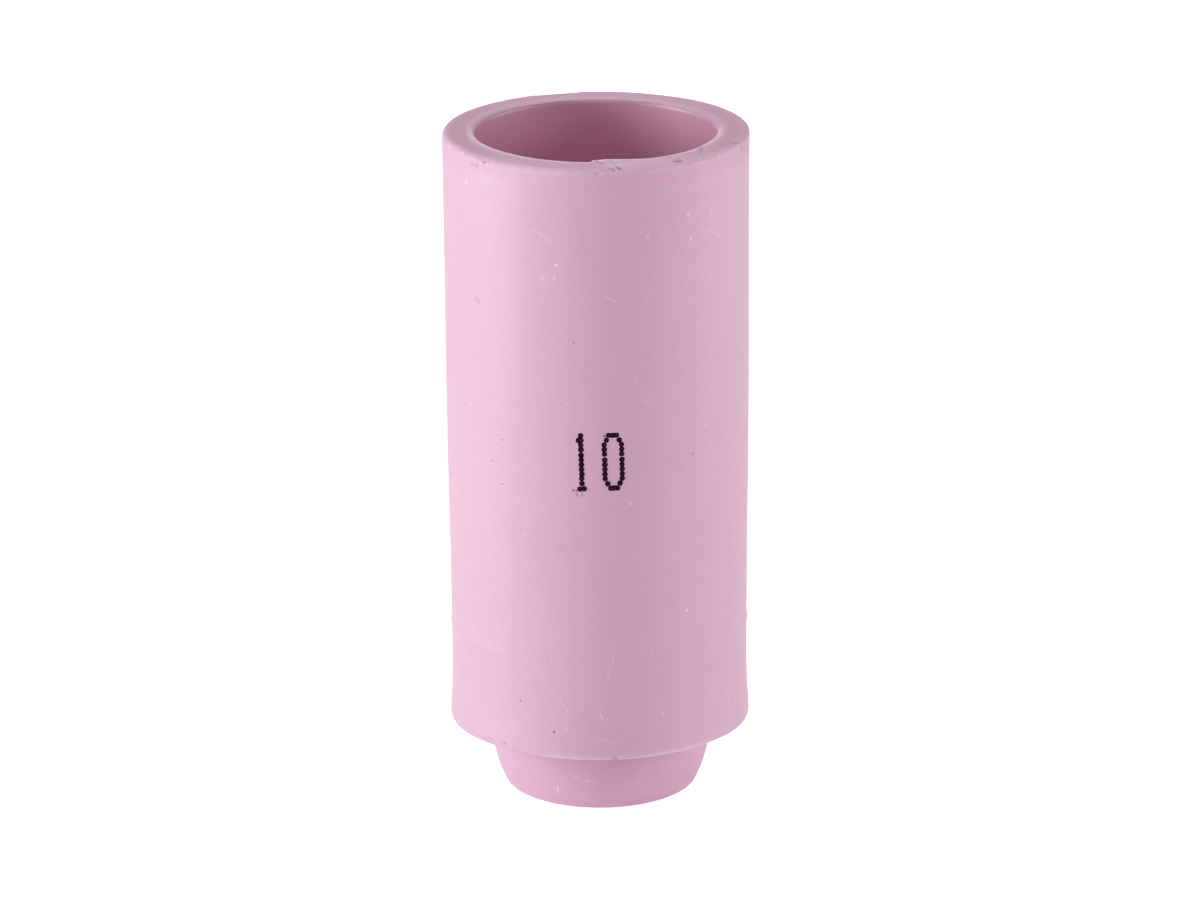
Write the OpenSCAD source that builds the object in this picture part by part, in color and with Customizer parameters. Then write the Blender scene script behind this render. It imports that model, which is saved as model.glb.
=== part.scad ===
// Ceramic gas nozzle of a TIG welding torch, size 10: one sintered piece, turned about Z.
// Origin: centre of the torch-end face. The gas leaves at the wide end, towards +Z.
// The wall is one outline of straight lines with rounded corners, spun round the axis.

/* [Overall] */
// Length from the torch-end face to the outlet rim
nozzle_len = 47; // [40:0.5:60]

/* [Gas outlet] */
// Diameter of the outlet bore, which sets the nozzle's size number
outlet_d = 16.6; // [13:0.1:18]
// Radius of the soft inner edge at the outlet's mouth
mouth_r = 0.2; // [0.1:0.05:0.8]

/* [Barrel] */
// Outside diameter at the outlet rim
rim_d = 21; // [20.9:0.05:22]
// Radius of the rim's outer edge
rim_edge_r = 0.25; // [0.1:0.05:0.6]
// Length over which the lip opens out to the rim
lip_len = 5; // [3:0.5:8]
// Outside diameter of the upper barrel
barrel_d = 20.92; // [20.7:0.02:21]
// Length of the slow taper between the upper barrel and the waist
taper_len = 12; // [6:0.5:18]
// Outside diameter of the waist, just above the foot
waist_d = 20.62; // [20:0.02:20.9]
// Straight length of the waist
waist_len = 7; // [3:0.5:10]

/* [Foot] */
// Outside diameter of the foot
foot_d = 20.92; // [20.6:0.02:21.4]
// Height of the straight land round the foot's edge
foot_land_len = 0.5; // [0.3:0.1:1.2]
// Height over which the foot flares out from the waist
foot_flare_len = 2.3; // [1.5:0.1:4]
// Radius of the foot's lower edge
foot_edge_r = 0.1; // [0.05:0.05:0.5]

/* [Torch end] */
// Diameter of the seating boss where it meets the foot
boss_d = 15.5; // [14.5:0.1:17]
// Length of the seating boss, which the torch's gasket swallows
boss_len = 4.95; // [4:0.05:8]
// Radius of the crowned side of the boss
boss_crown_r = 10.5; // [8:0.5:11]
// Slope of the boss's side at its free end, in degrees
boss_slope = 24; // [15:1:26]
// Radius of the edge at the free end of the boss
boss_edge_r = 0.35; // [0.2:0.05:0.8]
// Radius of the root where the boss meets the foot
boss_root_r = 0.25; // [0.1:0.05:0.5]

/* [Inside] */
// Diameter of the plain wall that stands at the crests of the screw thread
thread_bore_d = 10; // [8:0.1:10.5]
// Depth of the threaded bore from the torch-end face
thread_len = 9; // [6:0.5:14]
// Width and depth of the chamfer that leads into the thread
lead_in = 0.6; // [0.2:0.1:0.8]
// Half angle of the cone that opens from the thread to the outlet bore
gas_cone_angle = 35; // [20:1:50]
// Radius where the cone leaves the thread and where it meets the outlet bore
gas_cone_blend_r = 1.2; // [0.3:0.1:2]

/* [Hidden] */
$fn = 180;

arc_step = 6;         // most degrees that one chord of a rounded corner turns
soft_blend_r = 500;   // radius of the long, barely bent blends down the barrel
flare_blend_r = 7;    // radius of the blends at either end of the foot's flare

outlet_r = outlet_d / 2;
thread_bore_r = thread_bore_d / 2;
rim_r = rim_d / 2;
barrel_r = barrel_d / 2;
waist_r = waist_d / 2;
foot_r = foot_d / 2;
boss_r = boss_d / 2;

// Heights, counted up from the torch-end face
foot_z = boss_len;
flare_z = foot_z + foot_land_len;
waist_z = flare_z + foot_flare_len;
taper_z = waist_z + waist_len;
barrel_z = taper_z + taper_len;
lip_z = nozzle_len - lip_len;
gas_cone_len = (outlet_r - thread_bore_r) / tan(gas_cone_angle);
gas_cone_z = thread_len + gas_cone_len;

// The boss's side turns from upright at the root to boss_slope at its free end
crown_drop = boss_crown_r * tan(boss_slope / 2);
crown_z = foot_z - boss_root_r - crown_drop;
boss_end_r = boss_r - crown_z * tan(boss_slope);

// Corners of the half section as [radius, height, rounding], walked up the outside and
// down the inside
outside = [
    [boss_end_r, 0, boss_edge_r],
    [boss_r, crown_z, boss_crown_r],
    [boss_r, foot_z, boss_root_r],
    [foot_r, foot_z, foot_edge_r],
    [foot_r, flare_z, flare_blend_r],
    [waist_r, waist_z, flare_blend_r],
    [waist_r, taper_z, soft_blend_r],
    [barrel_r, barrel_z, soft_blend_r],
    [barrel_r, lip_z, soft_blend_r],
    [rim_r, nozzle_len, rim_edge_r]
];
inside = [
    [outlet_r, nozzle_len, mouth_r],
    [outlet_r, gas_cone_z, gas_cone_blend_r],
    [thread_bore_r, thread_len, gas_cone_blend_r],
    [thread_bore_r, lead_in, 0],
    [thread_bore_r + lead_in, 0, 0]
];

function unit(v) = v / norm(v);

// Degrees by which an outline changes direction at a corner
function turn(before, corner, after) =
    acos(min(1, unit(corner - before) * unit(after - corner)));

// What is left of a rounding when the two ends of a side ask for more than its length
function fit(side, ask, other_ask) = min(1, side / max(side, ask + other_ask));

// The arc that touches both sides of a corner, each of them `back` away from it
function corner_arc(before, corner, after, back) =
    let (
        along = unit(corner - before),
        bend = turn(before, corner, after),
        side = sign(cross(along, after - corner)),
        inward = side * [-along.y, along.x],
        arc_r = back / tan(bend / 2),
        centre = corner - along * back + inward * arc_r,
        steps = max(4, ceil(bend / arc_step))
    )
    [for (i = [0:steps])
        let (a = bend * i / steps)
        centre + arc_r * (along * sin(a) - inward * cos(a))];

// A closed outline from corners given as [x, y, rounding]; a rounding of 0 stays sharp
function rounded_outline(corners) =
    let (
        n = len(corners),
        at = [for (c = corners) [c.x, c.y]],
        last = [for (i = [0:n - 1]) at[(i + n - 1) % n]],
        next = [for (i = [0:n - 1]) at[(i + 1) % n]],
        ask = [for (i = [0:n - 1]) corners[i].z * tan(turn(last[i], at[i], next[i]) / 2)]
    )
    [for (i = [0:n - 1])
        let (back = ask[i] * min(
            fit(norm(at[i] - last[i]), ask[i], ask[(i + n - 1) % n]),
            fit(norm(next[i] - at[i]), ask[i], ask[(i + 1) % n])
        ))
        each back == 0 ? [at[i]] : corner_arc(last[i], at[i], next[i], back)];

module gas_nozzle() {
    color([0.84, 0.7, 0.79])
        rotate_extrude()
            polygon(rounded_outline(concat(outside, inside)));
}

gas_nozzle();
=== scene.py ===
"""Ceramic gas nozzle of a TIG welding torch, size 10, pressed and sintered in pink alumina.

The nozzle is one piece, turned about Z: its torch end stands on z = 0 and the gas leaves at the
top. Meshes are modelled in millimetres and brought to metres when they are finished. The size
number is printed on the side that faces -Y. Angles round the nozzle are counted in degrees from
that side, towards +X.
"""

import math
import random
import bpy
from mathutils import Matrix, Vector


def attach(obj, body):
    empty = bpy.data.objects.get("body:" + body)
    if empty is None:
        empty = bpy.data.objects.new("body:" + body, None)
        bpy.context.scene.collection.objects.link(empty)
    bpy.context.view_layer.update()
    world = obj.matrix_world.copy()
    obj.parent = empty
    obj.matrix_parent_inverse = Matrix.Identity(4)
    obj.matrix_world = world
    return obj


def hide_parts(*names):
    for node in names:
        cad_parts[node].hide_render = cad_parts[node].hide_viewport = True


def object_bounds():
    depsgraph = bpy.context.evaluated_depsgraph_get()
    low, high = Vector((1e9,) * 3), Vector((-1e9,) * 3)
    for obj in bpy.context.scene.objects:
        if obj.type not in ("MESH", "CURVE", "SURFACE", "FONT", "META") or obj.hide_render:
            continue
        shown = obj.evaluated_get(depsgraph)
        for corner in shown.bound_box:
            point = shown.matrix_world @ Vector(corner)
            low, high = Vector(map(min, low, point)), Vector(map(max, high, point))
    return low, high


bl_info = {
    "name": "Ceramic Gas Nozzle",
    "version": (1, 0, 0),
    "blender": (4, 5, 0),
    "location": "3D View > Sidebar > Gas Nozzle",
    "description": "Builds a ceramic gas nozzle with a printed size number, and its studio",
    "category": "Object",
}

import bmesh
import bpy
from bpy.props import FloatProperty, FloatVectorProperty, IntProperty, PointerProperty
from mathutils import Matrix, Vector, kdtree, noise

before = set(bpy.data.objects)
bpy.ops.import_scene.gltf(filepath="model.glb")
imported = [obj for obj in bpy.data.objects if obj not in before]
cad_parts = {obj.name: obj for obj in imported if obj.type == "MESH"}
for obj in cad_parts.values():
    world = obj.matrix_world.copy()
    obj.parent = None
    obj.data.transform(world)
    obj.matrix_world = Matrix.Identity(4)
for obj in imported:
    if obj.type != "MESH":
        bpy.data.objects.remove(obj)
CAD_LOW, CAD_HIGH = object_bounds()

MM = 0.001
SPIN_STEPS = 192  # facets round the nozzle
ROUND = 8  # segments in a rounded right-angled edge
UP = Vector((0, 0, 1))

# In millimetres
FLARE_BLEND = 7.0  # radius where the foot's land meets its flare
WAIST_BLEND = 40.0  # radius where the flare meets the waist
BARREL_BLEND = 500.0  # radius of the barely bent blends down the barrel
LINE_RING = 0.11  # distance between the mesh's rings across the witness line
MOUTH_RING = 0.32  # distance from the mouth to the first ring on the rim's face
FINE_LENGTH = 1.2  # how far below the rim the mesh is fine enough to carry wear
FINE_RING = 0.25  # distance between the rings there
FOOT_REACH = 0.6  # how far in from the foot's side its lower edge is worn
BOSS_SHIFT = 0.06  # how far the boss stands to the right of the axis


# -------------------- sizes and finishes


def length(name, description, millimetres):
    """A length that is kept in metres, with its default given in millimetres."""
    return FloatProperty(
        name=name,
        description=description,
        default=millimetres * MM,
        min=0.0,
        precision=5,
        unit="LENGTH",
    )


def angle(name, description, degrees):
    """An angle that is kept in radians, with its default given in degrees."""
    return FloatProperty(
        name=name,
        description=description,
        default=math.radians(degrees),
        subtype="ANGLE",
        unit="ROTATION",
    )


def colour(name, description, rgb):
    """A scene-linear colour."""
    return FloatVectorProperty(
        name=name, description=description, default=rgb, min=0.0, max=1.0, subtype="COLOR"
    )


def brightness(name, description, strength):
    """A strength of light."""
    return FloatProperty(name=name, description=description, default=strength, min=0.0)


class NozzleSizes(bpy.types.PropertyGroup):
    """Sizes of the turned body."""

    height: length("Length", "From the torch-end face to the outlet rim", CAD_HIGH.z / MM)
    rim_width: length("Rim", "Outside diameter at the outlet", 2 * CAD_HIGH.x / MM)
    rim_edge: length("Rim edge", "Radius of the rim's outer edge", 0.25)
    outlet_width: length("Outlet", "Diameter of the outlet bore", 16.6)
    mouth_edge: length("Mouth edge", "Radius of the edge inside the mouth", 0.2)
    lip: length("Lip", "Length over which the barrel opens out to the rim", 5.0)
    barrel_width: length("Barrel", "Outside diameter of the upper barrel", 20.92)
    taper: length("Taper", "Length of the slow taper down to the waist", 12.0)
    waist_width: length("Waist", "Outside diameter just above the foot", 20.62)
    waist: length("Waist length", "Straight length of the waist", 7.0)
    witness_height: length("Witness line", "Height of the mould's witness line", 11.9)
    witness_rise: length("Witness rise", "How far the witness line stands out", 0.055)
    foot_width: length("Foot", "Outside diameter of the foot", 20.92)
    foot_land: length("Foot land", "Height of the straight land round the foot", 0.5)
    foot_flare: length("Foot flare", "Height over which the foot flares out", 2.3)
    foot_edge: length("Foot edge", "Radius of the foot's lower edge", 0.1)
    boss_width: length("Boss", "Diameter of the seating boss at the foot", 15.5)
    boss: length("Boss length", "Length of the seating boss", 4.95)
    boss_crown: length("Boss crown", "Radius of the boss's crowned side", 10.5)
    boss_slope: angle("Boss slope", "Slope of the boss's side at its free end", 24.0)
    boss_edge: length("Boss edge", "Radius of the edge at the boss's free end", 0.35)
    boss_root: length("Boss root", "Radius where the boss meets the foot", 0.25)
    thread_crest: length("Thread crest", "Diameter across the crests of the thread", 10.0)
    thread_root: length("Thread root", "Diameter across the roots of the thread", 11.2)
    thread_pitch: length("Thread pitch", "Distance from one turn to the next", 1.27)
    thread: length("Thread length", "Depth of the threaded bore", 9.0)
    cone_slope: angle("Gas cone", "Half angle of the cone above the thread", 35.0)
    cone_blend: length("Cone blend", "Radius at either end of the cone", 1.2)


class NumberSizes(bpy.types.PropertyGroup):
    """Sizes of the printed size number."""

    top: length("Top row", "Height of the number's top row of dots", 28.49)
    row_pitch: length("Row pitch", "Distance between rows of dots", 0.335)
    slip: length("Slip", "Extra gap where the printer slipped, halfway down the 0", 0.08)
    column_pitch: length("Column pitch", "Distance between columns of dots", 0.293)
    dot: length("Dot", "Diameter of one dot of ink", 0.385)
    film: length("Film", "Thickness of the ink on the glaze", 0.012)
    figure_pitch: length("Figure pitch", "Distance from the 1's stem to the middle of the 0", 2.17)
    lean: angle("Lean", "How far the figures lean, with their feet to the right", 1.12)
    rows: IntProperty(name="Rows", description="Rows of dots in a figure", default=12, min=5)


class Finish(bpy.types.PropertyGroup):
    """Colours of the alumina and of the ink."""

    alumina: colour("Alumina", "Colour of the sintered body", (0.600, 0.320, 0.463))
    alumina_pale: colour("Pale alumina", "Colour of its paler clouds", (0.620, 0.338, 0.481))
    # Painted shade: the bore's wall is given this deeper colour for the shade inside the bore
    alumina_bore_shade: colour("Bore", "Colour of the unglazed wall inside", (0.592, 0.235, 0.383))
    # Also the colour of the painted highlights along the front edges of the rim and the foot
    grain: colour("Grain", "Colour of light grains and scuffs", (0.80, 0.56, 0.68))
    # Also the colour of the painted shade in the mouth and of the rim face's darker sides
    pit: colour("Pit", "Colour inside pits and old chips", (0.22, 0.08, 0.135))
    ink: colour("Ink", "Colour of the printed number", (0.009, 0.0005, 0.005))
    thin_ink: colour("Thin ink", "Colour of the ink where it is thin", (0.085, 0.02, 0.055))


class Studio(bpy.types.PropertyGroup):
    """Camera and light."""

    focal_length: FloatProperty(
        name="Focal length",
        description="Lens on a 36 mm wide sensor",
        default=179.25,
        unit="CAMERA",
    )
    elevation: angle("Elevation", "How far the camera looks down", 18.24)
    roll: angle("Roll", "Turn of the camera about its own line of sight", -0.424)
    distance: length("Distance", "From the camera to the middle of the nozzle", 414.45)
    backdrop: brightness("Backdrop", "Brightness of the backdrop", 1.0)
    tent: brightness("Tent", "Brightness of the light tent's walls", 0.318)
    table_white: brightness("Table white", "Brightness of the table as it is seen", 0.75)
    table_glow: brightness("Table glow", "Light that the table gives to the nozzle", 0.329)
    power: FloatProperty(
        name="Power", description="Power of the strongest softbox", default=1.043, unit="POWER"
    )


# Light of the softboxes: cooler on the left, slightly so on the right, and rosier in front
COOL = (0.90, 1.10, 0.99)
MILD = (0.95, 1.06, 0.99)
ROSY = (1.05, 0.98, 1.05)
PLAIN = (1.0, 1.0, 1.0)
# Softboxes: name, degrees round the nozzle, degrees up, width and height in metres, share of
# power, colour
SOFTBOXES = (
    ("left_low_softbox", -80, 6.3, 0.16, 0.10, 0.85, COOL),
    ("left_softbox", -80, 20, 0.16, 0.14, 1.0, COOL),
    ("right_low_softbox", 100, 6.3, 0.16, 0.10, 0.49, MILD),
    ("right_softbox", 80, 20, 0.16, 0.14, 0.54, MILD),
    ("front_softbox", 0, 48, 0.22, 0.22, 0.446, ROSY),
    ("back_softbox", 180, 48, 0.22, 0.22, 0.477, PLAIN),
)
SOFTBOX_DISTANCE = 0.5  # metres from the nozzle
SOFTBOX_BASE = Vector((0, 0, 0.02))  # point that this distance is measured from
SOFTBOX_AIM = Vector((0, 0, 0.024))  # point that the softboxes face
TENT_TINT = (1.0, 0.945, 0.99, 1)
TABLE_RADIUS, TABLE_GAP = 1200.0, 0.02  # size of the table and its drop below z = 0, in mm
LENS_SHIFT = (0.00160, 0.00631)  # puts the nozzle a little off the middle of the picture


# -------------------- meshes


def mm(metres):
    """A stored length, in millimetres."""
    return metres / MM


def outline_corners(size):
    """Corners of the half section as (radius, height, rounding, segments) in millimetres.

    They run from the torch end up the outside, over the rim and down the inside.
    """
    boss_r, foot_r = mm(size.boss_width) / 2, mm(size.foot_width) / 2
    waist_r, barrel_r = mm(size.waist_width) / 2, mm(size.barrel_width) / 2
    rim_r, outlet_r = mm(size.rim_width) / 2, mm(size.outlet_width) / 2
    crest_r, root_r = mm(size.thread_crest) / 2, mm(size.thread_root) / 2
    lead_in = root_r - crest_r

    foot_z = mm(size.boss)
    crown_z = foot_z - mm(size.boss_root) - mm(size.boss_crown) * math.tan(size.boss_slope / 2)
    boss_end_r = boss_r - crown_z * math.tan(size.boss_slope)
    flare_z = foot_z + mm(size.foot_land)
    waist_z = flare_z + mm(size.foot_flare)
    taper_z = waist_z + mm(size.waist)
    barrel_z = taper_z + mm(size.taper)
    top = mm(size.height)
    thread_z = mm(size.thread)
    cone_z = thread_z + (outlet_r - crest_r) / math.tan(size.cone_slope)
    line_z = mm(size.witness_height)

    return (
        (boss_end_r, 0.0, mm(size.boss_edge), ROUND),
        (boss_r, crown_z, mm(size.boss_crown), ROUND),
        (boss_r, foot_z, mm(size.boss_root), ROUND),
        (foot_r, foot_z, mm(size.foot_edge), ROUND),
        (foot_r, flare_z, FLARE_BLEND, ROUND // 2),
        (waist_r, waist_z, WAIST_BLEND, ROUND),
        *((waist_r, line_z + step * LINE_RING, 0.0, 0) for step in range(-3, 4)),
        (waist_r, taper_z, BARREL_BLEND, ROUND // 2),
        (barrel_r, barrel_z, BARREL_BLEND, ROUND // 2),
        (barrel_r, top - mm(size.lip), BARREL_BLEND, ROUND // 2),
        (rim_r, top, mm(size.rim_edge), ROUND),
        (outlet_r + MOUTH_RING, top, 0.0, 0),
        (outlet_r, top, mm(size.mouth_edge), ROUND + 2),
        (outlet_r, cone_z, mm(size.cone_blend), ROUND),
        (crest_r, thread_z, mm(size.cone_blend), ROUND),
        (crest_r, lead_in, 0.0, 0),
        (root_r, 0.0, 0.0, 0),
    )


def draw_outline(bm, corners):
    """Joins the corners into a closed wire and rounds each one with a vertex bevel."""
    places = [Vector((radius, 0.0, height)) for radius, height, _, _ in corners]
    verts = [bm.verts.new(place) for place in places]
    for vert, following in zip(verts, verts[1:] + verts[:1]):
        bm.edges.new((vert, following))
    for i, (vert, (_, _, rounding, segments)) in enumerate(zip(verts, corners)):
        if not rounding:
            continue
        before, corner, after = places[i - 1], places[i], places[(i + 1) % len(places)]
        turn = (corner - before).angle(after - corner)
        # A bevel's curve is only a true arc at a right angle. This offset puts the middle of
        # the curve where the middle of the arc would be.
        offset = rounding * math.tan(turn / 4) / ((2 - math.sqrt(2)) * math.cos(turn / 2))
        bmesh.ops.bevel(
            bm, geom=[vert], offset=offset, offset_type="OFFSET", affect="VERTICES",
            segments=segments, profile=0.5, material=-1,
        )


def ring_spacing(place, size):
    """Distance between the rings of the mesh near a place on the outline."""
    in_bore = place.x < mm(size.outlet_width) / 2 + 0.1
    if in_bore and place.z < mm(size.thread) + 0.8 and place.x < mm(size.thread_root) / 2:
        return mm(size.thread_pitch) / 9
    if place.z > mm(size.height) - FINE_LENGTH:
        return FINE_RING
    return 2.4 if in_bore else 1.2


def add_rings(bm, size):
    """Cuts the outline's long sides, so that wear and shading have rings to work with."""
    for edge in bm.edges[:]:
        middle = (edge.verts[0].co + edge.verts[1].co) / 2
        cuts = int(edge.calc_length() / ring_spacing(middle, size))
        if cuts:
            bmesh.ops.subdivide_edges(bm, edges=[edge], cuts=cuts)
    # The last millimetre below the rim carries the wear, so its rings stand closer
    fine_z = mm(size.height) - FINE_LENGTH
    for edge in bm.edges[:]:
        if max(v.co.z for v in edge.verts) > fine_z and edge.calc_length() > 0.3:
            cuts = int(edge.calc_length() / FINE_RING)
            bmesh.ops.subdivide_edges(bm, edges=[edge], cuts=cuts)


def spin_round(bm):
    """Turns the outline about Z into a closed shell whose faces point outwards."""
    bmesh.ops.spin(
        bm, geom=bm.verts[:] + bm.edges[:], cent=(0, 0, 0), axis=(0, 0, 1), dvec=(0, 0, 0),
        angle=math.tau, steps=SPIN_STEPS, use_merge=True,
    )
    bmesh.ops.remove_doubles(bm, verts=bm.verts[:], dist=1e-4)
    bmesh.ops.recalc_face_normals(bm, faces=bm.faces[:])


def smooth_step(low, high, value):
    """Rises from 0 at low to 1 at high."""
    t = min(max((value - low) / (high - low), 0.0), 1.0)
    return t * t * (3 - 2 * t)


def fade(low, high, value):
    """Falls from 1 at low to 0 at high."""
    return 1 - smooth_step(low, high, value)


def band(value, start, full, fading, end):
    """Rises from 0 at start to 1 at full, and falls from 1 at fading to 0 at end."""
    return smooth_step(start, full, value) * fade(fading, end, value)


def straight_out(co):
    """The level direction from the axis to a point."""
    return Vector((co.x, co.y, 0)).normalized()


def cut_thread(bm, size):
    """Moves the wall of the threaded bore out into a right-hand thread with soft crests."""
    crest, root = mm(size.thread_crest) / 2, mm(size.thread_root) / 2
    end = mm(size.thread)
    for vert in bm.verts:
        radius = vert.co.xy.length
        if radius > root + 1e-3 or vert.co.z > end + 1.0:
            continue
        turned = math.atan2(vert.co.y, vert.co.x) / math.tau
        phase = (vert.co.z / mm(size.thread_pitch) - turned) % 1
        groove = smooth_step(0.15, 0.85, 1 - abs(2 * phase - 1))
        groove *= fade(end - 1.0, end + 0.2, vert.co.z)
        vert.co.xy *= max(radius, crest + (root - crest) * groove) / radius


def raise_witness_line(bm, size):
    """Raises the line that the mould leaves round the waist. It is polished off the front."""
    line_z, innermost = mm(size.witness_height), mm(size.waist_width) / 2 - 0.5
    reach = 3 * LINE_RING
    for vert in bm.verts:
        off = abs(vert.co.z - line_z)
        if off > reach or vert.co.xy.length < innermost:
            continue
        share = 0.1 + 0.9 * smooth_step(25, 70, abs(angle_of(vert.co)))
        share *= fade(0.02, reach, off) * (1 + 0.3 * noise.noise(vert.co * 0.5))
        vert.co += mm(size.witness_rise) * share * straight_out(vert.co)


def angle_of(co):
    """Degrees round the nozzle from the printed side, towards +X."""
    return math.degrees(math.atan2(co.x, -co.y))


def place_on(degrees, radius, height):
    """The point at that angle, radius and height, in millimetres."""
    turn = math.radians(degrees)
    return Vector((radius * math.sin(turn), -radius * math.cos(turn), height))


def refine(bm, zones, lowest):
    """Splits the faces above a height, in zones of (from angle, to angle, least radius)."""
    for start, end, inner in zones:
        faces = [
            face
            for face in bm.faces
            for middle in [face.calc_center_median()]
            if middle.z > lowest and middle.xy.length > inner and start < angle_of(middle) < end
        ]
        edges = {edge for face in faces for edge in face.edges}
        made = bmesh.ops.subdivide_edges(bm, edges=list(edges), cuts=2, use_grid_fill=True)
        # New points lie on the chords of the facets, so they are brought out to the round
        step = math.tau / SPIN_STEPS
        for vert in {g for g in made["geom_inner"] if isinstance(g, bmesh.types.BMVert)}:
            off = math.atan2(vert.co.y, vert.co.x) % step - step / 2
            vert.co.xy *= math.cos(off) / math.cos(step / 2)


# Zones of the rim that are split for wear: from angle, to angle, least radius
WORN_ZONES = ((-14.0, 62.0, 7.8), (-80.0, -14.0, 9.9))

# Stretches of the rim, as the degrees where each starts, is full, fades and ends
ROLLED = (-112, -80, 60, 84)  # the outer edge is rolled over
SHARP = (84, 100, 135, 155)  # the outer edge is sharper than elsewhere
KNOCKED_LEFT = (-82, -62, -36, -12)  # the outer edge is knocked back
KNOCKED_RIGHT = (16, 34, 58, 80)
LIPPED = (-90, -45, 62, 88)  # the mouth stands inwards in a burr
BURR_PALE_AND_LIT = (0, 6, 22, 40)  # the burr is pale, partly rubbed and partly a painted highlight
FACE_DARKER = (40, 68, 112, 150)  # the face is darker, on both sides
LESS_MOUTH_SHADE = (90, 100, 140, 160)  # the painted shade in the opening of the mouth is lighter

# Broken and scuffed patches of the rim: from angle, to angle, from walk, to walk, depth. The walk
# is the distance from the axis to a point, counted over the rim's face and down its side.
RIM_PATCHES = (
    (-4.0, 13.0, 8.5, 10.75, 0.09),
    (12.0, 36.0, 9.7, 10.8, 0.03),
    (33.0, 62.0, 8.8, 11.2, 0.055),
    (-90.0, -38.0, 9.9, 11.0, 0.05),
    (-38.0, -4.0, 10.2, 10.7, 0.03),
    (-180.0, -90.0, 10.2, 10.7, 0.03),
    (140.0, 180.0, 10.3, 10.7, 0.02),
)
# Gouges and pits of the rim: from (angle, walk) to (angle, walk), width, depth
RIM_GOUGES = (
    ((5.6, 9.6), (6.8, 10.3), 0.18, 0.14),
    ((8.7, 9.45), (9.6, 10.0), 0.26, 0.16),
    ((51.2, 9.15), (54.0, 9.2), 0.38, 0.08),
    ((53.8, 8.75), (57.4, 8.75), 0.34, 0.08),
    ((-171.0, 10.4), (-159.0, 10.35), 0.80, 0.05),
    ((0.4, 8.6), (3.0, 8.8), 0.22, 0.08),
    ((33.6, 9.75), (35.6, 9.8), 0.42, 0.13),
    ((69.4, 10.05), (71.0, 10.1), 0.36, 0.13),
    ((71.1, 10.75), (71.2, 10.95), 0.20, 0.12),
    ((-46.9, 10.68), (-46.4, 10.68), 0.20, 0.12),
    ((-53.6, 11.1), (-53.4, 11.1), 0.18, 0.09),
    ((-50.9, 11.05), (-50.6, 11.1), 0.20, 0.09),
)


def nearest_on(start, end, point):
    """Distance from a point to a line between two others, all of them 2D."""
    along = end - start
    share = min(max((point - start).dot(along) / max(along.length_squared, 1e-9), 0.0), 1.0)
    return (point - start - along * share).length


def rim_damage(co, turn, walk):
    """How deep a point of the rim is worn, how crumbled it is, and how far it is in a gouge."""
    depth = crumbs = pit = 0.0
    for start, end, inner, outer, amount in RIM_PATCHES:
        inside = band(turn, start - 1, start + 3, end - 3, end + 1)
        inside *= band(walk, inner - 0.15, inner + 0.15, outer - 0.2, outer + 0.2)
        if inside:
            coarse = noise.noise(co * 1.6) + 0.5 * noise.noise(co * 4.3)
            fine = 0.35 * noise.noise(co * 9.0)
            broken = max(coarse + fine + 0.15, 0.0)
            depth += amount * inside * min(broken, 1.2)
            crumbs = max(crumbs, inside * min(broken * 2, 1.0))
    radius = co.xy.length
    here = Vector((math.radians(turn) * radius, walk))
    for start, end, width, amount in RIM_GOUGES:
        ends = [Vector((math.radians(a) * radius, w)) for a, w in (start, end)]
        near = nearest_on(*ends, here) + 0.05 * noise.noise(co * 7.0)
        share = fade(width * 0.15, width * 0.75, near)
        depth += amount * share
        pit = max(pit, share * min(amount / 0.15, 1.0))
    return depth, crumbs, pit


def rim_tints(turn, walk, drop, mouth, rim):
    """How pale a point of the rim is, from rubbing and painted highlights, and how much darker,
    from its darker sides and painted shade in the mouth.
    """
    # In front, the edges and the burr are pale: partly rubbed, partly a painted highlight where
    # the rounded edges catch the light
    edge = fade(mouth + 0.26, mouth + 0.44, walk) * fade(0.05, 0.15, drop)
    edge *= 0.95 * fade(80, 105, abs(turn))
    rub_and_highlight = band(walk, rim - 0.55, rim - 0.15, rim + 0.1, rim + 0.5)
    rub_and_highlight *= smooth_step(-100, -70, turn) * (0.14 + 0.21 * smooth_step(-45, -20, turn))
    rub_and_highlight *= fade(60, 84, turn)
    burr = 0.28 * band(turn, *BURR_PALE_AND_LIT) * band(walk, 8.5, 8.8, 9.6, 10.0)
    # At the sides the face is darker, and behind, painted shade darkens the opening of the mouth
    darkened = 0.2 * band(abs(turn), *FACE_DARKER) * band(walk, 8.8, 9.2, 9.8, 10.2)
    # Painted shade: the opening of the mouth is darkened behind, less so from 100 to 140 degrees
    deep = 0.42 - 0.22 * band(turn, *LESS_MOUTH_SHADE)
    deep *= smooth_step(95, 120, abs(turn)) * fade(0.19, 0.3, drop)
    deep *= fade(mouth - 0.15, mouth + 0.2, walk)
    return max(edge, rub_and_highlight, burr), max(darkened, deep)


def roll_outer_edge(size, co, turn, walk):
    """Where a point of the rim goes as the outer edge is rolled over and knocked back."""
    top, rim, edge = mm(size.height), mm(size.rim_width) / 2, mm(size.rim_edge)
    outwards, place = straight_out(co), co.copy()
    roll = edge + 0.2 * band(turn, *ROLLED) - 0.12 * band(turn, *SHARP)
    past = walk - rim
    if abs(past) < max(roll, edge):
        along = min(max(past / roll, -1.0), 1.0)
        bend = math.pi / 4 + math.asin(along / math.sqrt(2))
        spare = past - along * roll
        place = outwards * (rim - roll * (1 - math.sin(bend)) + min(spare, 0.0))
        place += UP * (top - roll * (1 - math.cos(bend)) - max(spare, 0.0))
    knock = 0.15 * band(turn, *KNOCKED_LEFT) + 0.1 * band(turn, *KNOCKED_RIGHT)
    knock *= band(walk, rim - 1.2, rim - 0.3, rim + 0.3, rim + 1.4)
    return place - knock * outwards


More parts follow.
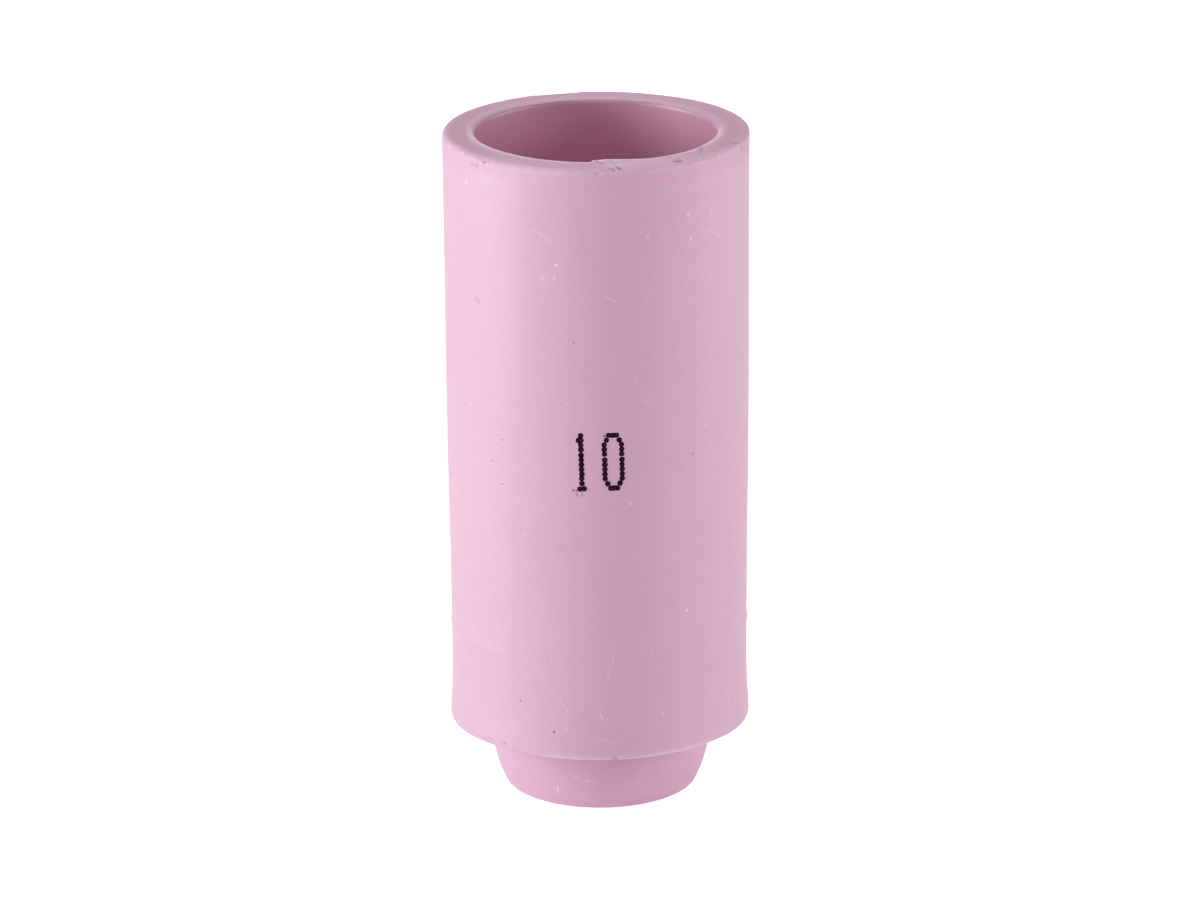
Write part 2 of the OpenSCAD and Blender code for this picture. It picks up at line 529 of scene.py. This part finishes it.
def mouth_move(co, turn, drop, mouth):
    """How a point near the mouth moves: outwards behind, and inwards with the burr in front."""
    radius, outwards = co.xy.length, straight_out(co)
    # Behind, the mouth opens softly and the face rolls over into it
    soft = smooth_step(78, 122, abs(turn)) * fade(mouth + 0.2, mouth + 0.95, radius)
    lift = 0.12 * min(drop / 0.2, 1.0) * fade(0.2, 0.9, drop)
    move = soft * (0.35 * fade(0.0, 0.22, drop) * outwards + lift * UP)
    # The burr stands inwards, most of all to the right of a sharp step
    rise = 0.22 * band(turn, *LIPPED) * (1 - 0.36 * smooth_step(36, 46, turn))
    step = 0.55 * smooth_step(-3.0, -1.2, turn) + 0.17 * smooth_step(-1.2, 6.0, turn)
    rise += step * fade(4.0, 33.0, turn)
    rise *= fade(mouth + 0.25, mouth + 0.9, radius) * fade(0.2, 1.4, drop)
    return move - rise * outwards


def wear_rim(bm, size):
    """Breaks and scuffs the outlet's rim, and leaves the burr on the front of its mouth."""
    chipped, pits_and_shade, scuffs_and_highlights = wear_layers(bm)
    top, rim, mouth = mm(size.height), mm(size.rim_width) / 2, mm(size.outlet_width) / 2
    for vert in bm.verts:
        drop, radius, turn = top - vert.co.z, vert.co.xy.length, angle_of(vert.co)
        if drop > 1.5 or radius < mouth - 0.1:
            continue
        walk = radius + drop if radius > (mouth + rim) / 2 else radius - drop
        depth, crumbs, pit = rim_damage(vert.co, turn, walk)
        pale, darkened = rim_tints(turn, walk, drop, mouth, rim)
        # Pits, the darker sides and the painted shade in the mouth darken a point; rubbing and
        # painted highlights make it pale
        vert[chipped], vert[pits_and_shade] = crumbs, max(0.55 * pit, darkened)
        vert[scuffs_and_highlights] = pale * (1 + 0.5 * noise.noise(vert.co * 2.5))

        place = roll_outer_edge(size, vert.co, turn, walk)
        # Wear goes in across the outer edge, turning smoothly from the rim's face to its side
        lean = math.radians(90 * smooth_step(rim - 0.45, rim + 0.45, walk))
        place -= depth * (straight_out(vert.co) * math.sin(lean) + UP * math.cos(lean))
        if radius < mouth + 1.0:
            place += mouth_move(vert.co, turn, drop, mouth)
        vert.co = place


def shift_boss(bm, size):
    """Sets the seating boss a hair to the right of the axis, as it came out of the mould."""
    foot_z = mm(size.boss)
    for vert in bm.verts:
        if vert.co.z < foot_z + 0.05 and vert.co.xy.length > mm(size.thread_root) / 2 + 0.1:
            vert.co.x += BOSS_SHIFT * fade(8.2, 9.4, vert.co.xy.length)


# Nicks in the foot's lower edge: angle, height, width, depth, darkness
FOOT_NICKS = (
    (5.9, 5.16, 0.20, 0.10, 0.6),
    (118.0, 5.1, 0.3, 0.1, 0.5),
    (-152.0, 5.15, 0.35, 0.1, 0.5),
)


def nick_foot(bm, size):
    """Paints a highlight along the front of the foot's lower edge, and knocks a few small nicks
    into it.
    """
    chipped, pits_and_shade, scuffs_and_highlights = wear_layers(bm)
    foot_z, foot_r = mm(size.boss), mm(size.foot_width) / 2
    for vert in bm.verts:
        radius, lift, turned = vert.co.xy.length, vert.co.z - foot_z, angle_of(vert.co)
        if abs(lift) > 1.0 or radius < foot_r - FOOT_REACH:
            continue
        # Painted highlight: the front of the lower edge is made pale where its rounding catches
        # the light, with a fainter pale band above it
        front = band(turned, -30, -17, 44, 60)
        lip_highlight = 0.5 * fade(0.05, 0.16, abs(lift - 0.13)) * (0.1 + 0.9 * front)
        lip_highlight = max(lip_highlight, 0.16 * front * fade(0.15, 0.6, lift))
        vert[scuffs_and_highlights] = lip_highlight * (1 + 0.9 * noise.noise(vert.co * 1.6))
        # The front of the edge is worn in and up
        worn = fade(45, 70, abs(turned)) * smooth_step(foot_r - FOOT_REACH, foot_r - 0.1, radius)
        vert.co -= worn * 0.07 * fade(0.0, 0.6, lift) * straight_out(vert.co)
        vert.co.z += worn * 0.06 * fade(0.0, 0.4, lift)
        for turn, height, width, depth, dark in FOOT_NICKS:
            gap = (vert.co - place_on(turn, foot_r, height)).length
            share = fade(width * 0.2, width * 0.9, gap + 0.06 * noise.noise(vert.co * 6))
            vert[pits_and_shade] = max(vert[pits_and_shade], dark * share)
            vert[chipped] = max(vert[chipped], 0.5 * share)
            vert.co -= depth * share * straight_out(vert.co)


# Marks on the outside: from (angle, height) to (angle, height), width, rise, tint. A mark with a
# tint above 0 is a light grain or scuff, and one below 0 is a dark pit or hairline.
MARKS = (
    ((-23.0, 42.7), (-16.4, 41.95), 0.13, 0.008, 0.28),
    ((42.0, 41.8), (47.5, 41.9), 0.17, 0.008, 0.24),
    ((47.5, 41.9), (52.5, 41.2), 0.17, 0.008, 0.24),
    ((3.1, 38.2), (6.9, 37.9), 0.12, 0.006, 0.45),
    ((47.3, 42.8), (47.4, 43.3), 0.18, 0.012, 0.42),
    ((-14.9, 40.37), (-14.8, 40.4), 0.24, 0.020, 0.9),
    ((-15.8, 39.46), (-15.4, 39.46), 0.24, 0.020, 0.9),
    ((-20.8, 39.4), (-20.0, 39.4), 0.20, 0.015, 0.7),
    ((35.8, 43.35), (35.8, 43.4), 0.24, 0.020, 0.9),
    ((37.1, 41.6), (37.2, 41.65), 0.24, 0.020, 0.7),
    ((19.0, 42.2), (19.1, 42.3), 0.20, 0.015, 0.6),
    ((24.8, 8.05), (24.9, 8.1), 0.20, 0.015, 0.65),
    ((35.3, 15.2), (35.3, 15.25), 0.24, 0.020, 0.8),
    ((18.0, 30.7), (18.0, 30.7), 0.22, 0.015, 0.6),
    ((-56.1, 29.4), (-56.0, 29.4), 0.22, 0.015, 0.7),
    ((-56.7, 45.0), (-56.3, 45.1), 0.30, 0.015, 0.6),
    ((5.7, 13.1), (4.9, 12.1), 0.22, 0.008, 0.2),
    ((4.6, 11.8), (2.6, 10.8), 0.20, 0.008, 0.2),
    ((0.3, 8.4), (1.2, 8.0), 0.17, 0.012, 0.45),
    ((0.8, 8.75), (0.9, 8.8), 0.16, 0.010, 0.4),
    ((-24.0, 1.65), (-24.2, 1.25), 0.20, 0.015, 0.65),
    ((-14.3, 2.58), (-8.0, 2.4), 0.14, 0.006, 0.25),
    ((-8.0, 2.4), (-1.8, 2.17), 0.14, 0.006, 0.3),
    ((-15.0, 9.5), (-14.9, 9.45), 0.20, 0.010, 0.4),
    ((-14.3, 9.0), (-14.1, 8.9), 0.16, 0.008, 0.3),
    ((-12.6, 8.6), (-12.5, 8.5), 0.18, 0.010, 0.4),
    ((-12.1, 7.95), (-12.2, 7.8), 0.18, 0.010, 0.35),
    ((-13.1, 7.25), (-12.8, 7.2), 0.18, 0.010, 0.4),
    ((-0.4, 6.67), (2.6, 6.42), 0.13, 0.006, 0.22),
    ((2.6, 6.42), (5.8, 6.32), 0.13, 0.006, 0.22),
    ((14.3, 7.3), (14.6, 7.28), 0.18, 0.008, 0.3),
    ((13.9, 6.06), (14.1, 6.0), 0.18, 0.010, 0.4),
    ((-46.8, 5.50), (-45.0, 5.40), 0.26, -0.020, -0.2),
    ((-39.4, 5.50), (-38.6, 5.45), 0.26, -0.025, -0.28),
    ((-31.7, 8.8), (-31.6, 8.8), 0.20, -0.050, -0.5),
    ((-17.6, 6.93), (-17.5, 6.93), 0.20, -0.060, -0.7),
    ((-27.7, 20.5), (-22.3, 20.7), 0.12, -0.006, -0.08),
    ((-22.3, 20.7), (-12.5, 20.4), 0.12, -0.006, -0.08),
    ((-19.8, 12.35), (-19.8, 12.05), 0.14, -0.010, -0.15),
    ((-8.4, 35.05), (-8.3, 35.05), 0.20, -0.040, -0.5),
    ((-38.4, 27.5), (-38.3, 27.5), 0.26, -0.040, -0.4),
    ((-43.5, 25.8), (-43.4, 25.8), 0.26, -0.040, -0.5),
    ((-38.6, 24.3), (-38.5, 24.3), 0.26, -0.040, -0.4),
    ((37.9, 26.5), (37.8, 26.4), 0.20, -0.030, -0.4),
    ((-50.9, 37.0), (-50.2, 36.9), 0.60, -0.010, -0.2),
    ((-7.75, 24.45), (-7.9, 24.2), 0.14, 0.0, -0.6),
    ((-5.95, 24.45), (-6.05, 24.2), 0.14, 0.0, -0.6),
    ((112.0, 33.0), (118.0, 33.6), 0.13, 0.010, 0.5),
    ((145.0, 21.0), (145.3, 21.0), 0.24, 0.020, 0.8),
    ((-128.0, 38.0), (-127.6, 38.0), 0.26, -0.060, -0.7),
    ((-160.0, 14.0), (-154.0, 12.6), 0.14, 0.010, 0.45),
    ((-101.0, 18.0), (-100.7, 18.0), 0.26, -0.050, -0.6),
    ((170.0, 30.0), (170.4, 30.0), 0.24, 0.020, 0.8),
    ((88.0, 12.5), (88.4, 12.5), 0.26, -0.060, -0.7),
)


def mark_outside(bm, size):
    """Raises grains and sinks pits in the outside, on a mesh made finer round each of them."""
    foot_z, barrel_r, boss_r = mm(size.boss), mm(size.barrel_width) / 2, mm(size.boss_width) / 2

    def along(start, end):
        """Points from one end of a mark to the other, closer together than the mesh is fine."""
        radius = boss_r - 0.7 if start[1] < foot_z else barrel_r
        places = [place_on(turn, radius, height) for turn, height in (start, end)]
        count = 1 + int((places[1] - places[0]).length / 0.25)
        return [places[0].lerp(places[1], step / count) for step in range(count + 1)]

    # Each pass splits the faces within that distance of a mark
    for reach in (0.85, 0.40):
        tree = kdtree.KDTree(len(bm.faces))
        bm.faces.ensure_lookup_table()
        for face in bm.faces:
            tree.insert(face.calc_center_median(), face.index)
        tree.balance()
        near = {
            hit[1]
            for start, end, *_ in MARKS
            for point in along(start, end)
            for hit in tree.find_range(point, reach)
        }
        edges = {edge for index in near for edge in bm.faces[index].edges}
        bmesh.ops.subdivide_edges(bm, edges=list(edges), cuts=2, use_grid_fill=True)

    _, pits_and_shade, scuffs_and_highlights = wear_layers(bm)
    tree = kdtree.KDTree(len(bm.verts))
    bm.verts.ensure_lookup_table()
    for vert in bm.verts:
        tree.insert(vert.co, vert.index)
    tree.balance()
    bm.normal_update()
    for start, end, width, rise, tint in MARKS:
        reach = 0.5 + width
        near = {hit[1] for point in along(start, end) for hit in tree.find_range(point, reach)}
        for vert in (bm.verts[index] for index in near):
            radius = vert.co.xy.length
            ends = [Vector((math.radians(turn) * radius, height)) for turn, height in (start, end)]
            here = Vector((math.radians(angle_of(vert.co)) * radius, vert.co.z))
            gap = nearest_on(*ends, here) + 0.15 * width * noise.noise(vert.co * 5)
            share = fade(width * 0.15, width * 0.6, gap)
            layer = scuffs_and_highlights if tint > 0 else pits_and_shade
            vert[layer] = max(vert[layer], abs(tint) * share)
            vert.co += vert.normal * rise * share


def point_layer(bm, name):
    """The number that each vertex keeps under that name."""
    return bm.verts.layers.float.get(name) or bm.verts.layers.float.new(name)


def wear_layers(bm):
    """How chipped each vertex is, how dark it is with pits and painted shade, and how pale with
    scuffs and painted highlights.
    """
    return [point_layer(bm, name) for name in ("chipped", "pits_and_shade", "scuffs_and_highlights")]


def finish_mesh(bm, name, material):
    """Brings a mesh from millimetres to metres and makes it a smooth-shaded object."""
    bmesh.ops.scale(bm, vec=(MM, MM, MM), verts=bm.verts[:])
    for face in bm.faces:
        face.smooth = True
    mesh = bpy.data.meshes.new(name)
    bm.to_mesh(mesh)
    bm.free()
    mesh.materials.append(material)
    piece = bpy.data.objects.new(name, mesh)
    bpy.context.scene.collection.objects.link(piece)
    return piece


# -------------------- materials


def add_node(tree, kind, inputs=None, **settings):
    """Adds a node with its settings, and fills its inputs with values or with other sockets."""
    node = tree.nodes.new(kind)
    for name, value in settings.items():
        setattr(node, name, value)
    for key, value in (inputs or {}).items():
        if isinstance(value, bpy.types.NodeSocket):
            tree.links.new(value, node.inputs[key])
        else:
            node.inputs[key].default_value = value
    return node


def calculate(tree, operation, *values):
    """The result of a Math node."""
    node = add_node(tree, "ShaderNodeMath", dict(enumerate(values)), operation=operation)
    return node.outputs[0]


def times(tree, first, second):
    """The product of two values."""
    return calculate(tree, "MULTIPLY", first, second)


def larger(tree, first, second):
    """The larger of two values."""
    return calculate(tree, "MAXIMUM", first, second)


def kept_value(tree, name):
    """The number that the mesh keeps under that name, such as its wear."""
    return add_node(tree, "ShaderNodeAttribute", attribute_name=name).outputs["Fac"]


def remap(tree, value, low, high, to_low=0.0, to_high=1.0):
    """A smooth step from one range of values to another."""
    node = add_node(
        tree,
        "ShaderNodeMapRange",
        {"Value": value, "From Min": low, "From Max": high, "To Min": to_low, "To Max": to_high},
        interpolation_type="SMOOTHSTEP",
    )
    return node.outputs[0]


def blend_colour(tree, share, first, second):
    """A mix of two colours or colour sockets."""
    node = add_node(tree, "ShaderNodeMix", {0: share, 6: first, 7: second}, data_type="RGBA")
    return node.outputs[2]


def new_group(name, inputs):
    """A shader node group with one output. Returns the group and its input and output nodes."""
    group = bpy.data.node_groups.new(name, "ShaderNodeTree")
    for label, kind, default in inputs:
        socket = group.interface.new_socket(name=label, in_out="INPUT", socket_type=kind)
        if default is not None:
            socket.default_value = default
    group.interface.new_socket(name="Mask", in_out="OUTPUT", socket_type="NodeSocketFloat")
    return group, group.nodes.new("NodeGroupInput"), group.nodes.new("NodeGroupOutput")


def grain_group():
    """Scattered round grains: one in each cell of a loose lattice, of which a share shows."""
    group, given, result = new_group(
        "Scattered Grains",
        (
            ("Vector", "NodeSocketVector", None),
            ("Spacing", "NodeSocketFloat", 0.6),
            ("Width", "NodeSocketFloat", 0.1),
            ("Share", "NodeSocketFloat", 0.3),
        ),
    )
    scale = calculate(group, "DIVIDE", 1.0, given.outputs["Spacing"])
    cells = add_node(
        group, "ShaderNodeTexVoronoi", {"Vector": given.outputs["Vector"], "Scale": scale}
    )
    pick = add_node(group, "ShaderNodeSeparateColor", {0: cells.outputs["Color"]})
    shows = calculate(group, "LESS_THAN", pick.outputs[0], given.outputs["Share"])
    reach = calculate(group, "MULTIPLY_ADD", pick.outputs[1], 0.3, 0.2)
    reach = times(group, reach, given.outputs["Width"])
    gap = times(group, cells.outputs["Distance"], given.outputs["Spacing"])
    dot = remap(group, gap, times(group, reach, 0.5), reach, 1.0, 0.0)
    group.links.new(times(group, dot, shows), result.inputs[0])
    return group


def cloud_group():
    """Soft clouds, from 0 to 1."""
    group, given, result = new_group(
        "Kiln Clouds",
        (
            ("Vector", "NodeSocketVector", None),
            ("Width", "NodeSocketFloat", 4.0),
            ("Detail", "NodeSocketFloat", 3.0),
        ),
    )
    scale = calculate(group, "DIVIDE", 1.0, given.outputs["Width"])
    settings = {
        "Vector": given.outputs["Vector"],
        "Scale": scale,
        "Detail": given.outputs["Detail"],
        "Roughness": 0.55,
    }
    clouds = add_node(group, "ShaderNodeTexNoise", settings)
    group.links.new(remap(group, clouds.outputs[0], 0.32, 0.68), result.inputs[0])
    return group


def use_group(tree, group, **inputs):
    """Places a group in a tree and returns its mask."""
    return add_node(tree, "ShaderNodeGroup", inputs, node_tree=group).outputs[0]


def new_material(name):
    """A node material. Returns it, its tree, its shader and Object coordinates in millimetres."""
    material = bpy.data.materials.new(name)
    material.use_nodes = True
    tree = material.node_tree
    shader = tree.nodes["Principled BSDF"]
    source = tree.nodes.new("ShaderNodeTexCoord").outputs["Object"]
    scaled = add_node(tree, "ShaderNodeMapping", {"Vector": source, "Scale": (1 / MM,) * 3})
    return material, tree, shader, scaled.outputs[0]


def alumina_material(finish, groups):
    """Matte sintered alumina with kiln clouds, light grains, pits and worn edges, with painted
    shade in the bore and painted highlights on the front edges.
    """
    grains, clouds = groups
    material, tree, shader, at = new_material("pink_alumina")

    broad = use_group(tree, clouds, Vector=at, Width=7.0, Detail=3.0)
    close = use_group(tree, clouds, Vector=at, Width=0.9, Detail=4.0)
    clouded = calculate(tree, "MULTIPLY_ADD", close, 0.35, times(tree, broad, 0.5))
    tint = blend_colour(tree, clouded, (*finish.alumina, 1), (*finish.alumina_pale, 1))

    # Painted shade: the wall of the bore is given a deeper colour for the shade inside it, less so
    # at its top
    flat = add_node(tree, "ShaderNodeVectorMath", {0: at, 1: (1, 1, 0)}, operation="MULTIPLY")
    off_axis = add_node(tree, "ShaderNodeVectorMath", {0: flat.outputs[0]}, operation="LENGTH")
    radius = off_axis.outputs["Value"]
    height = add_node(tree, "ShaderNodeSeparateXYZ", {0: at}).outputs["Z"]
    inside = times(tree, remap(tree, radius, 9.0, 9.4, 1.0, 0.0), remap(tree, height, 5.0, 7.0))
    for low, high, least in ((42.0, 47.0, 0.75), (46.75, 46.98, 0.0)):
        inside = times(tree, inside, remap(tree, height, low, high, 1.0, least))
    tint = blend_colour(tree, inside, tint, (*finish.alumina_bore_shade, 1))

    # Light grains, rubbed places, painted highlights along the front edges, and the crumbs of
    # broken ones
    fine = use_group(tree, grains, Vector=at, Spacing=0.42, Width=0.20, Share=0.35)
    coarse = use_group(tree, grains, Vector=at, Spacing=1.7, Width=0.34, Share=0.3)
    light = larger(tree, times(tree, fine, 0.4), times(tree, coarse, 0.42))
    light = larger(tree, light, kept_value(tree, "scuffs_and_highlights"))
    crumb = use_group(tree, grains, Vector=at, Spacing=0.28, Width=0.27, Share=0.7)
    crumb = times(tree, crumb, kept_value(tree, "chipped"))
    light = larger(tree, light, times(tree, crumb, 0.9))
    tint = blend_colour(tree, light, tint, (*finish.grain, 1))

    # Dark pores and pits, the darker sides of the rim's face, and the painted shade in the mouth
    pores = use_group(tree, grains, Vector=at, Spacing=2.3, Width=0.24, Share=0.12)
    dark = larger(tree, times(tree, pores, 0.4), kept_value(tree, "pits_and_shade"))
    tint = blend_colour(tree, dark, tint, (*finish.pit, 1))

    tooth = add_node(
        tree, "ShaderNodeTexNoise", {"Vector": at, "Scale": 7.0, "Detail": 4.0, "Roughness": 0.6}
    )
    rise = calculate(tree, "MULTIPLY_ADD", tooth.outputs[0], 0.6, times(tree, close, 0.5))
    rise = calculate(tree, "MULTIPLY_ADD", light, 0.8, rise)
    rise = calculate(tree, "SUBTRACT", rise, dark)
    bump = add_node(
        tree, "ShaderNodeBump", {"Height": rise, "Strength": 0.5, "Distance": 0.02 * MM}
    )

    # The worn outer edge of the rim is rougher
    worn = times(tree, remap(tree, height, 45.2, 46.4), remap(tree, radius, 9.9, 10.3))
    roughness = calculate(tree, "MULTIPLY_ADD", worn, 0.22, 0.45)
    tree.links.new(roughness, shader.inputs["Roughness"])
    shader.inputs["IOR"].default_value = 1.7
    tree.links.new(tint, shader.inputs["Base Color"])
    tree.links.new(bump.outputs[0], shader.inputs["Normal"])
    return material


def ink_material(finish, groups):
    """Dark marking ink, thinner in the middle of each dot and broken by a few grains."""
    grains, clouds = groups
    material, tree, shader, at = new_material("size_ink")
    middle = remap(tree, kept_value(tree, "thin"), 0.3, 0.9, 0.0, 0.9)
    patchy = use_group(tree, clouds, Vector=at, Width=0.3, Detail=2.0)
    patchy = calculate(tree, "MULTIPLY_ADD", patchy, 0.7, 0.3)
    specks = use_group(tree, grains, Vector=at, Spacing=0.16, Width=0.10, Share=0.25)
    thin = larger(tree, times(tree, middle, patchy), times(tree, specks, 0.3))
    tint = blend_colour(tree, thin, (*finish.ink, 1), (*finish.thin_ink, 1))
    tree.links.new(tint, shader.inputs["Base Color"])
    shader.inputs["Roughness"].default_value = 0.7
    shader.inputs["Specular IOR Level"].default_value = 0.04
    return material


# -------------------- operators


class NOZZLE_OT_body(bpy.types.Operator):
    """Turn the ceramic body, cut its thread, and wear its rim and foot"""

    bl_idname = "nozzle.body"
    bl_label = "Ceramic Body"

    def execute(self, context):
        size, finish = context.scene.nozzle_sizes, context.scene.nozzle_finish
        bm = bmesh.new()
        draw_outline(bm, outline_corners(size))
        add_rings(bm, size)
        spin_round(bm)
        cut_thread(bm, size)
        raise_witness_line(bm, size)
        refine(bm, WORN_ZONES, mm(size.height) - 1.1)
        wear_rim(bm, size)
        nick_foot(bm, size)
        shift_boss(bm, size)
        mark_outside(bm, size)
        body = finish_mesh(bm, "nozzle_body", alumina_material(finish, shared_groups()))
        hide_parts("gas_nozzle")
        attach(body, "root")
        return {"FINISHED"}


def figure_dots(rows):
    """Dots of the two figures, as (figure, column, row, size): column 0 is a figure's middle."""
    last = rows - 1
    one = [(0, 0.0, row, 1.0) for row in range(last)]
    one += [(0, -0.45, 1.0, 1.1), (0, -0.5, last + 0.06, 0.95), (0, 0.5, last - 0.08, 1.0)]
    nought = []
    for row in range(rows):
        from_end = min(row, last - row)
        if from_end == 0:
            nought += [(1, (0.62 - row * 0.008) * (step - 1.5), row, 0.95) for step in range(4)]
        else:
            half = 1.44 if from_end == 1 else 2.0
            nought += [(1, -half, row, 1.0), (1, half, row, 1.0)]
    # Three specks of ink that missed their places
    stray = [(1, -1.95, 0.12, 0.32), (0, -2.05, last + 0.35, 0.28), (0, -1.35, last + 0.35, 0.2)]
    return one + nought + stray


class NOZZLE_OT_number(bpy.types.Operator):
    """Print the size number on the barrel in dots of ink"""

    bl_idname = "nozzle.number"
    bl_label = "Size Number"

    def execute(self, context):
        number, finish = context.scene.nozzle_number, context.scene.nozzle_finish
        barrel_r = mm(context.scene.nozzle_sizes.barrel_width) / 2
        draw = random.Random(10)
        bm = bmesh.new()
        for figure, column, row, width in figure_dots(number.rows):
            drop = row * mm(number.row_pitch) + draw.uniform(-0.012, 0.012) - 0.02 * figure
            slips = (row > 4.5) if figure else 0.62 * (row > 3.5) + 0.7 * (row > 10.5)
            drop += mm(number.slip) * slips
            across = (figure - 0.54) * mm(number.figure_pitch) + column * mm(number.column_pitch)
            across += drop * math.tan(number.lean) + draw.uniform(-0.012, 0.012)
            width *= mm(number.dot) * draw.uniform(0.95, 1.05)
            drop_of_ink(bm, barrel_r, across, mm(number.top) - drop, width, mm(number.film))
        ink = finish_mesh(bm, "size_number", ink_material(finish, shared_groups()))
        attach(ink, "root")
        return {"FINISHED"}


def drop_of_ink(bm, barrel_r, across, height, width, film):
    """Lays one flat drop of ink on the front of the barrel. It dries thin in its middle."""
    thin = point_layer(bm, "thin")
    made = bmesh.ops.create_uvsphere(bm, u_segments=16, v_segments=8, radius=0.5)["verts"]
    for vert in made:
        vert[thin] = 1 - 2 * vert.co.xy.length
    bmesh.ops.scale(bm, vec=(width, width, 2 * film), verts=made)
    turn = across / barrel_r
    stand = Matrix.Rotation(math.pi / 2, 4, "X")
    place = Matrix.Translation((barrel_r * math.sin(turn), -barrel_r * math.cos(turn), height))
    bmesh.ops.transform(bm, matrix=place @ Matrix.Rotation(turn, 4, "Z") @ stand, verts=made)


def shared_groups():
    """The groups that the materials share, built once."""
    makers = {"Scattered Grains": grain_group, "Kiln Clouds": cloud_group}
    return [bpy.data.node_groups.get(name) or make() for name, make in makers.items()]


class NOZZLE_OT_studio(bpy.types.Operator):
    """Set up the table, the light tent and the camera"""

    bl_idname = "nozzle.studio"
    bl_label = "Studio"

    def execute(self, context):
        studio = context.scene.nozzle_studio
        add_table(studio)
        light_tent(context.scene, studio)
        for name, degrees, rise, width, height, share, tint in SOFTBOXES:
            lamp = softbox(name, math.radians(degrees), math.radians(rise), width, height)
            lamp.energy, lamp.color = share * studio.power, tint
        set_camera(context.scene, studio)
        view = context.scene.view_settings
        view.view_transform, view.look, view.exposure, view.gamma = "Standard", "None", 0.0, 1.0
        return {"FINISHED"}


def add_table(studio):
    """A pale round table top that glows a little, and is clear from below."""
    bm = bmesh.new()
    bmesh.ops.create_circle(bm, cap_ends=True, segments=96, radius=TABLE_RADIUS)
    bmesh.ops.translate(bm, vec=-TABLE_GAP * UP, verts=bm.verts[:])
    material = bpy.data.materials.new("table_top")
    material.use_nodes = True
    tree = material.node_tree
    shader, output = tree.nodes["Principled BSDF"], tree.nodes["Material Output"]
    shader.inputs["Base Color"].default_value = (0.8, 0.8, 0.8, 1)
    shader.inputs["Roughness"].default_value = 0.9
    shader.inputs["Emission Color"].default_value = (1, 1, 1, 1)
    # The camera sees it white, and the nozzle gets less light from it
    seen = tree.nodes.new("ShaderNodeLightPath").outputs["Is Camera Ray"]
    rise = studio.table_white - studio.table_glow
    glow = calculate(tree, "MULTIPLY_ADD", seen, rise, studio.table_glow)
    tree.links.new(glow, shader.inputs["Emission Strength"])
    clear = tree.nodes.new("ShaderNodeBsdfTransparent")
    facing = tree.nodes.new("ShaderNodeNewGeometry").outputs["Backfacing"]
    sides = {0: facing, 1: shader.outputs[0], 2: clear.outputs[0]}
    both = add_node(tree, "ShaderNodeMixShader", sides)
    tree.links.new(both.outputs[0], output.inputs["Surface"])
    finish_mesh(bm, "table_top", material)


def light_tent(scene, studio):
    """A white backdrop for the camera, and the dimmer walls of the tent for everything else."""
    world = bpy.data.worlds.new("light_tent")
    scene.world = world
    world.use_nodes = True
    tree = world.node_tree
    backdrop = tree.nodes["Background"]
    backdrop.inputs["Strength"].default_value = studio.backdrop
    backdrop.inputs["Color"].default_value = (1, 1, 1, 1)
    walls = add_node(
        tree, "ShaderNodeBackground", {"Color": TENT_TINT, "Strength": studio.tent}
    )
    seen = tree.nodes.new("ShaderNodeLightPath").outputs["Is Camera Ray"]
    sides = {0: seen, 1: walls.outputs[0], 2: backdrop.outputs[0]}
    both = add_node(tree, "ShaderNodeMixShader", sides)
    tree.links.new(both.outputs[0], tree.nodes["World Output"].inputs["Surface"])


def softbox(name, turn, rise, width, height):
    """A softbox that faces the nozzle from that angle round it and up. Returns its light."""
    data = bpy.data.lights.new(name, "AREA")
    data.shape, data.size, data.size_y = "RECTANGLE", width, height
    lamp = bpy.data.objects.new(name, data)
    aside = Vector((math.sin(turn), -math.cos(turn), 0)) * math.cos(rise)
    lamp.location = (aside + UP * math.sin(rise)) * SOFTBOX_DISTANCE + SOFTBOX_BASE
    lamp.rotation_euler = (SOFTBOX_AIM - lamp.location).to_track_quat("-Z", "Y").to_euler()
    bpy.context.scene.collection.objects.link(lamp)
    return data


def set_camera(scene, studio):
    """Aims the camera at the middle of the nozzle, a little off the middle of the picture."""
    data = bpy.data.cameras.new("camera")
    data.lens, data.sensor_width = studio.focal_length, 36.0
    data.shift_x, data.shift_y = LENS_SHIFT
    camera = bpy.data.objects.new("camera", data)
    middle = Vector((0, 0, (CAD_LOW.z + CAD_HIGH.z) / 2))
    back = Vector((0, -math.cos(studio.elevation), math.sin(studio.elevation)))
    aim = (-back).to_track_quat("-Z", "Y").to_matrix().to_4x4()
    roll = Matrix.Rotation(studio.roll, 4, "Z")
    camera.matrix_world = Matrix.Translation(middle + back * studio.distance) @ aim @ roll
    scene.collection.objects.link(camera)
    scene.camera = camera


# -------------------- panel and registration

OPERATORS = (NOZZLE_OT_body, NOZZLE_OT_number, NOZZLE_OT_studio)
SETTINGS = {
    "nozzle_sizes": NozzleSizes,
    "nozzle_number": NumberSizes,
    "nozzle_finish": Finish,
    "nozzle_studio": Studio,
}


class NOZZLE_PT_panel(bpy.types.Panel):
    """Lists the pieces and their settings"""

    bl_label = "Gas Nozzle"
    bl_idname = "NOZZLE_PT_panel"
    bl_space_type = "VIEW_3D"
    bl_region_type = "UI"
    bl_category = "Gas Nozzle"

    def draw(self, context):
        for operator in OPERATORS:
            self.layout.operator(operator.bl_idname)
        for name, group in SETTINGS.items():
            box = self.layout.box()
            box.label(text=group.__doc__)
            for setting in group.__annotations__:
                box.prop(getattr(context.scene, name), setting)


def register():
    for cls in (*SETTINGS.values(), *OPERATORS, NOZZLE_PT_panel):
        bpy.utils.register_class(cls)
    for name, group in SETTINGS.items():
        setattr(bpy.types.Scene, name, PointerProperty(type=group))


def unregister():
    for name in SETTINGS:
        delattr(bpy.types.Scene, name)
    for cls in reversed((*SETTINGS.values(), *OPERATORS, NOZZLE_PT_panel)):
        bpy.utils.unregister_class(cls)


def main():
    register()
    bpy.ops.nozzle.studio()
    bpy.ops.nozzle.body()
    bpy.ops.nozzle.number()


if __name__ == "__main__":
    main()
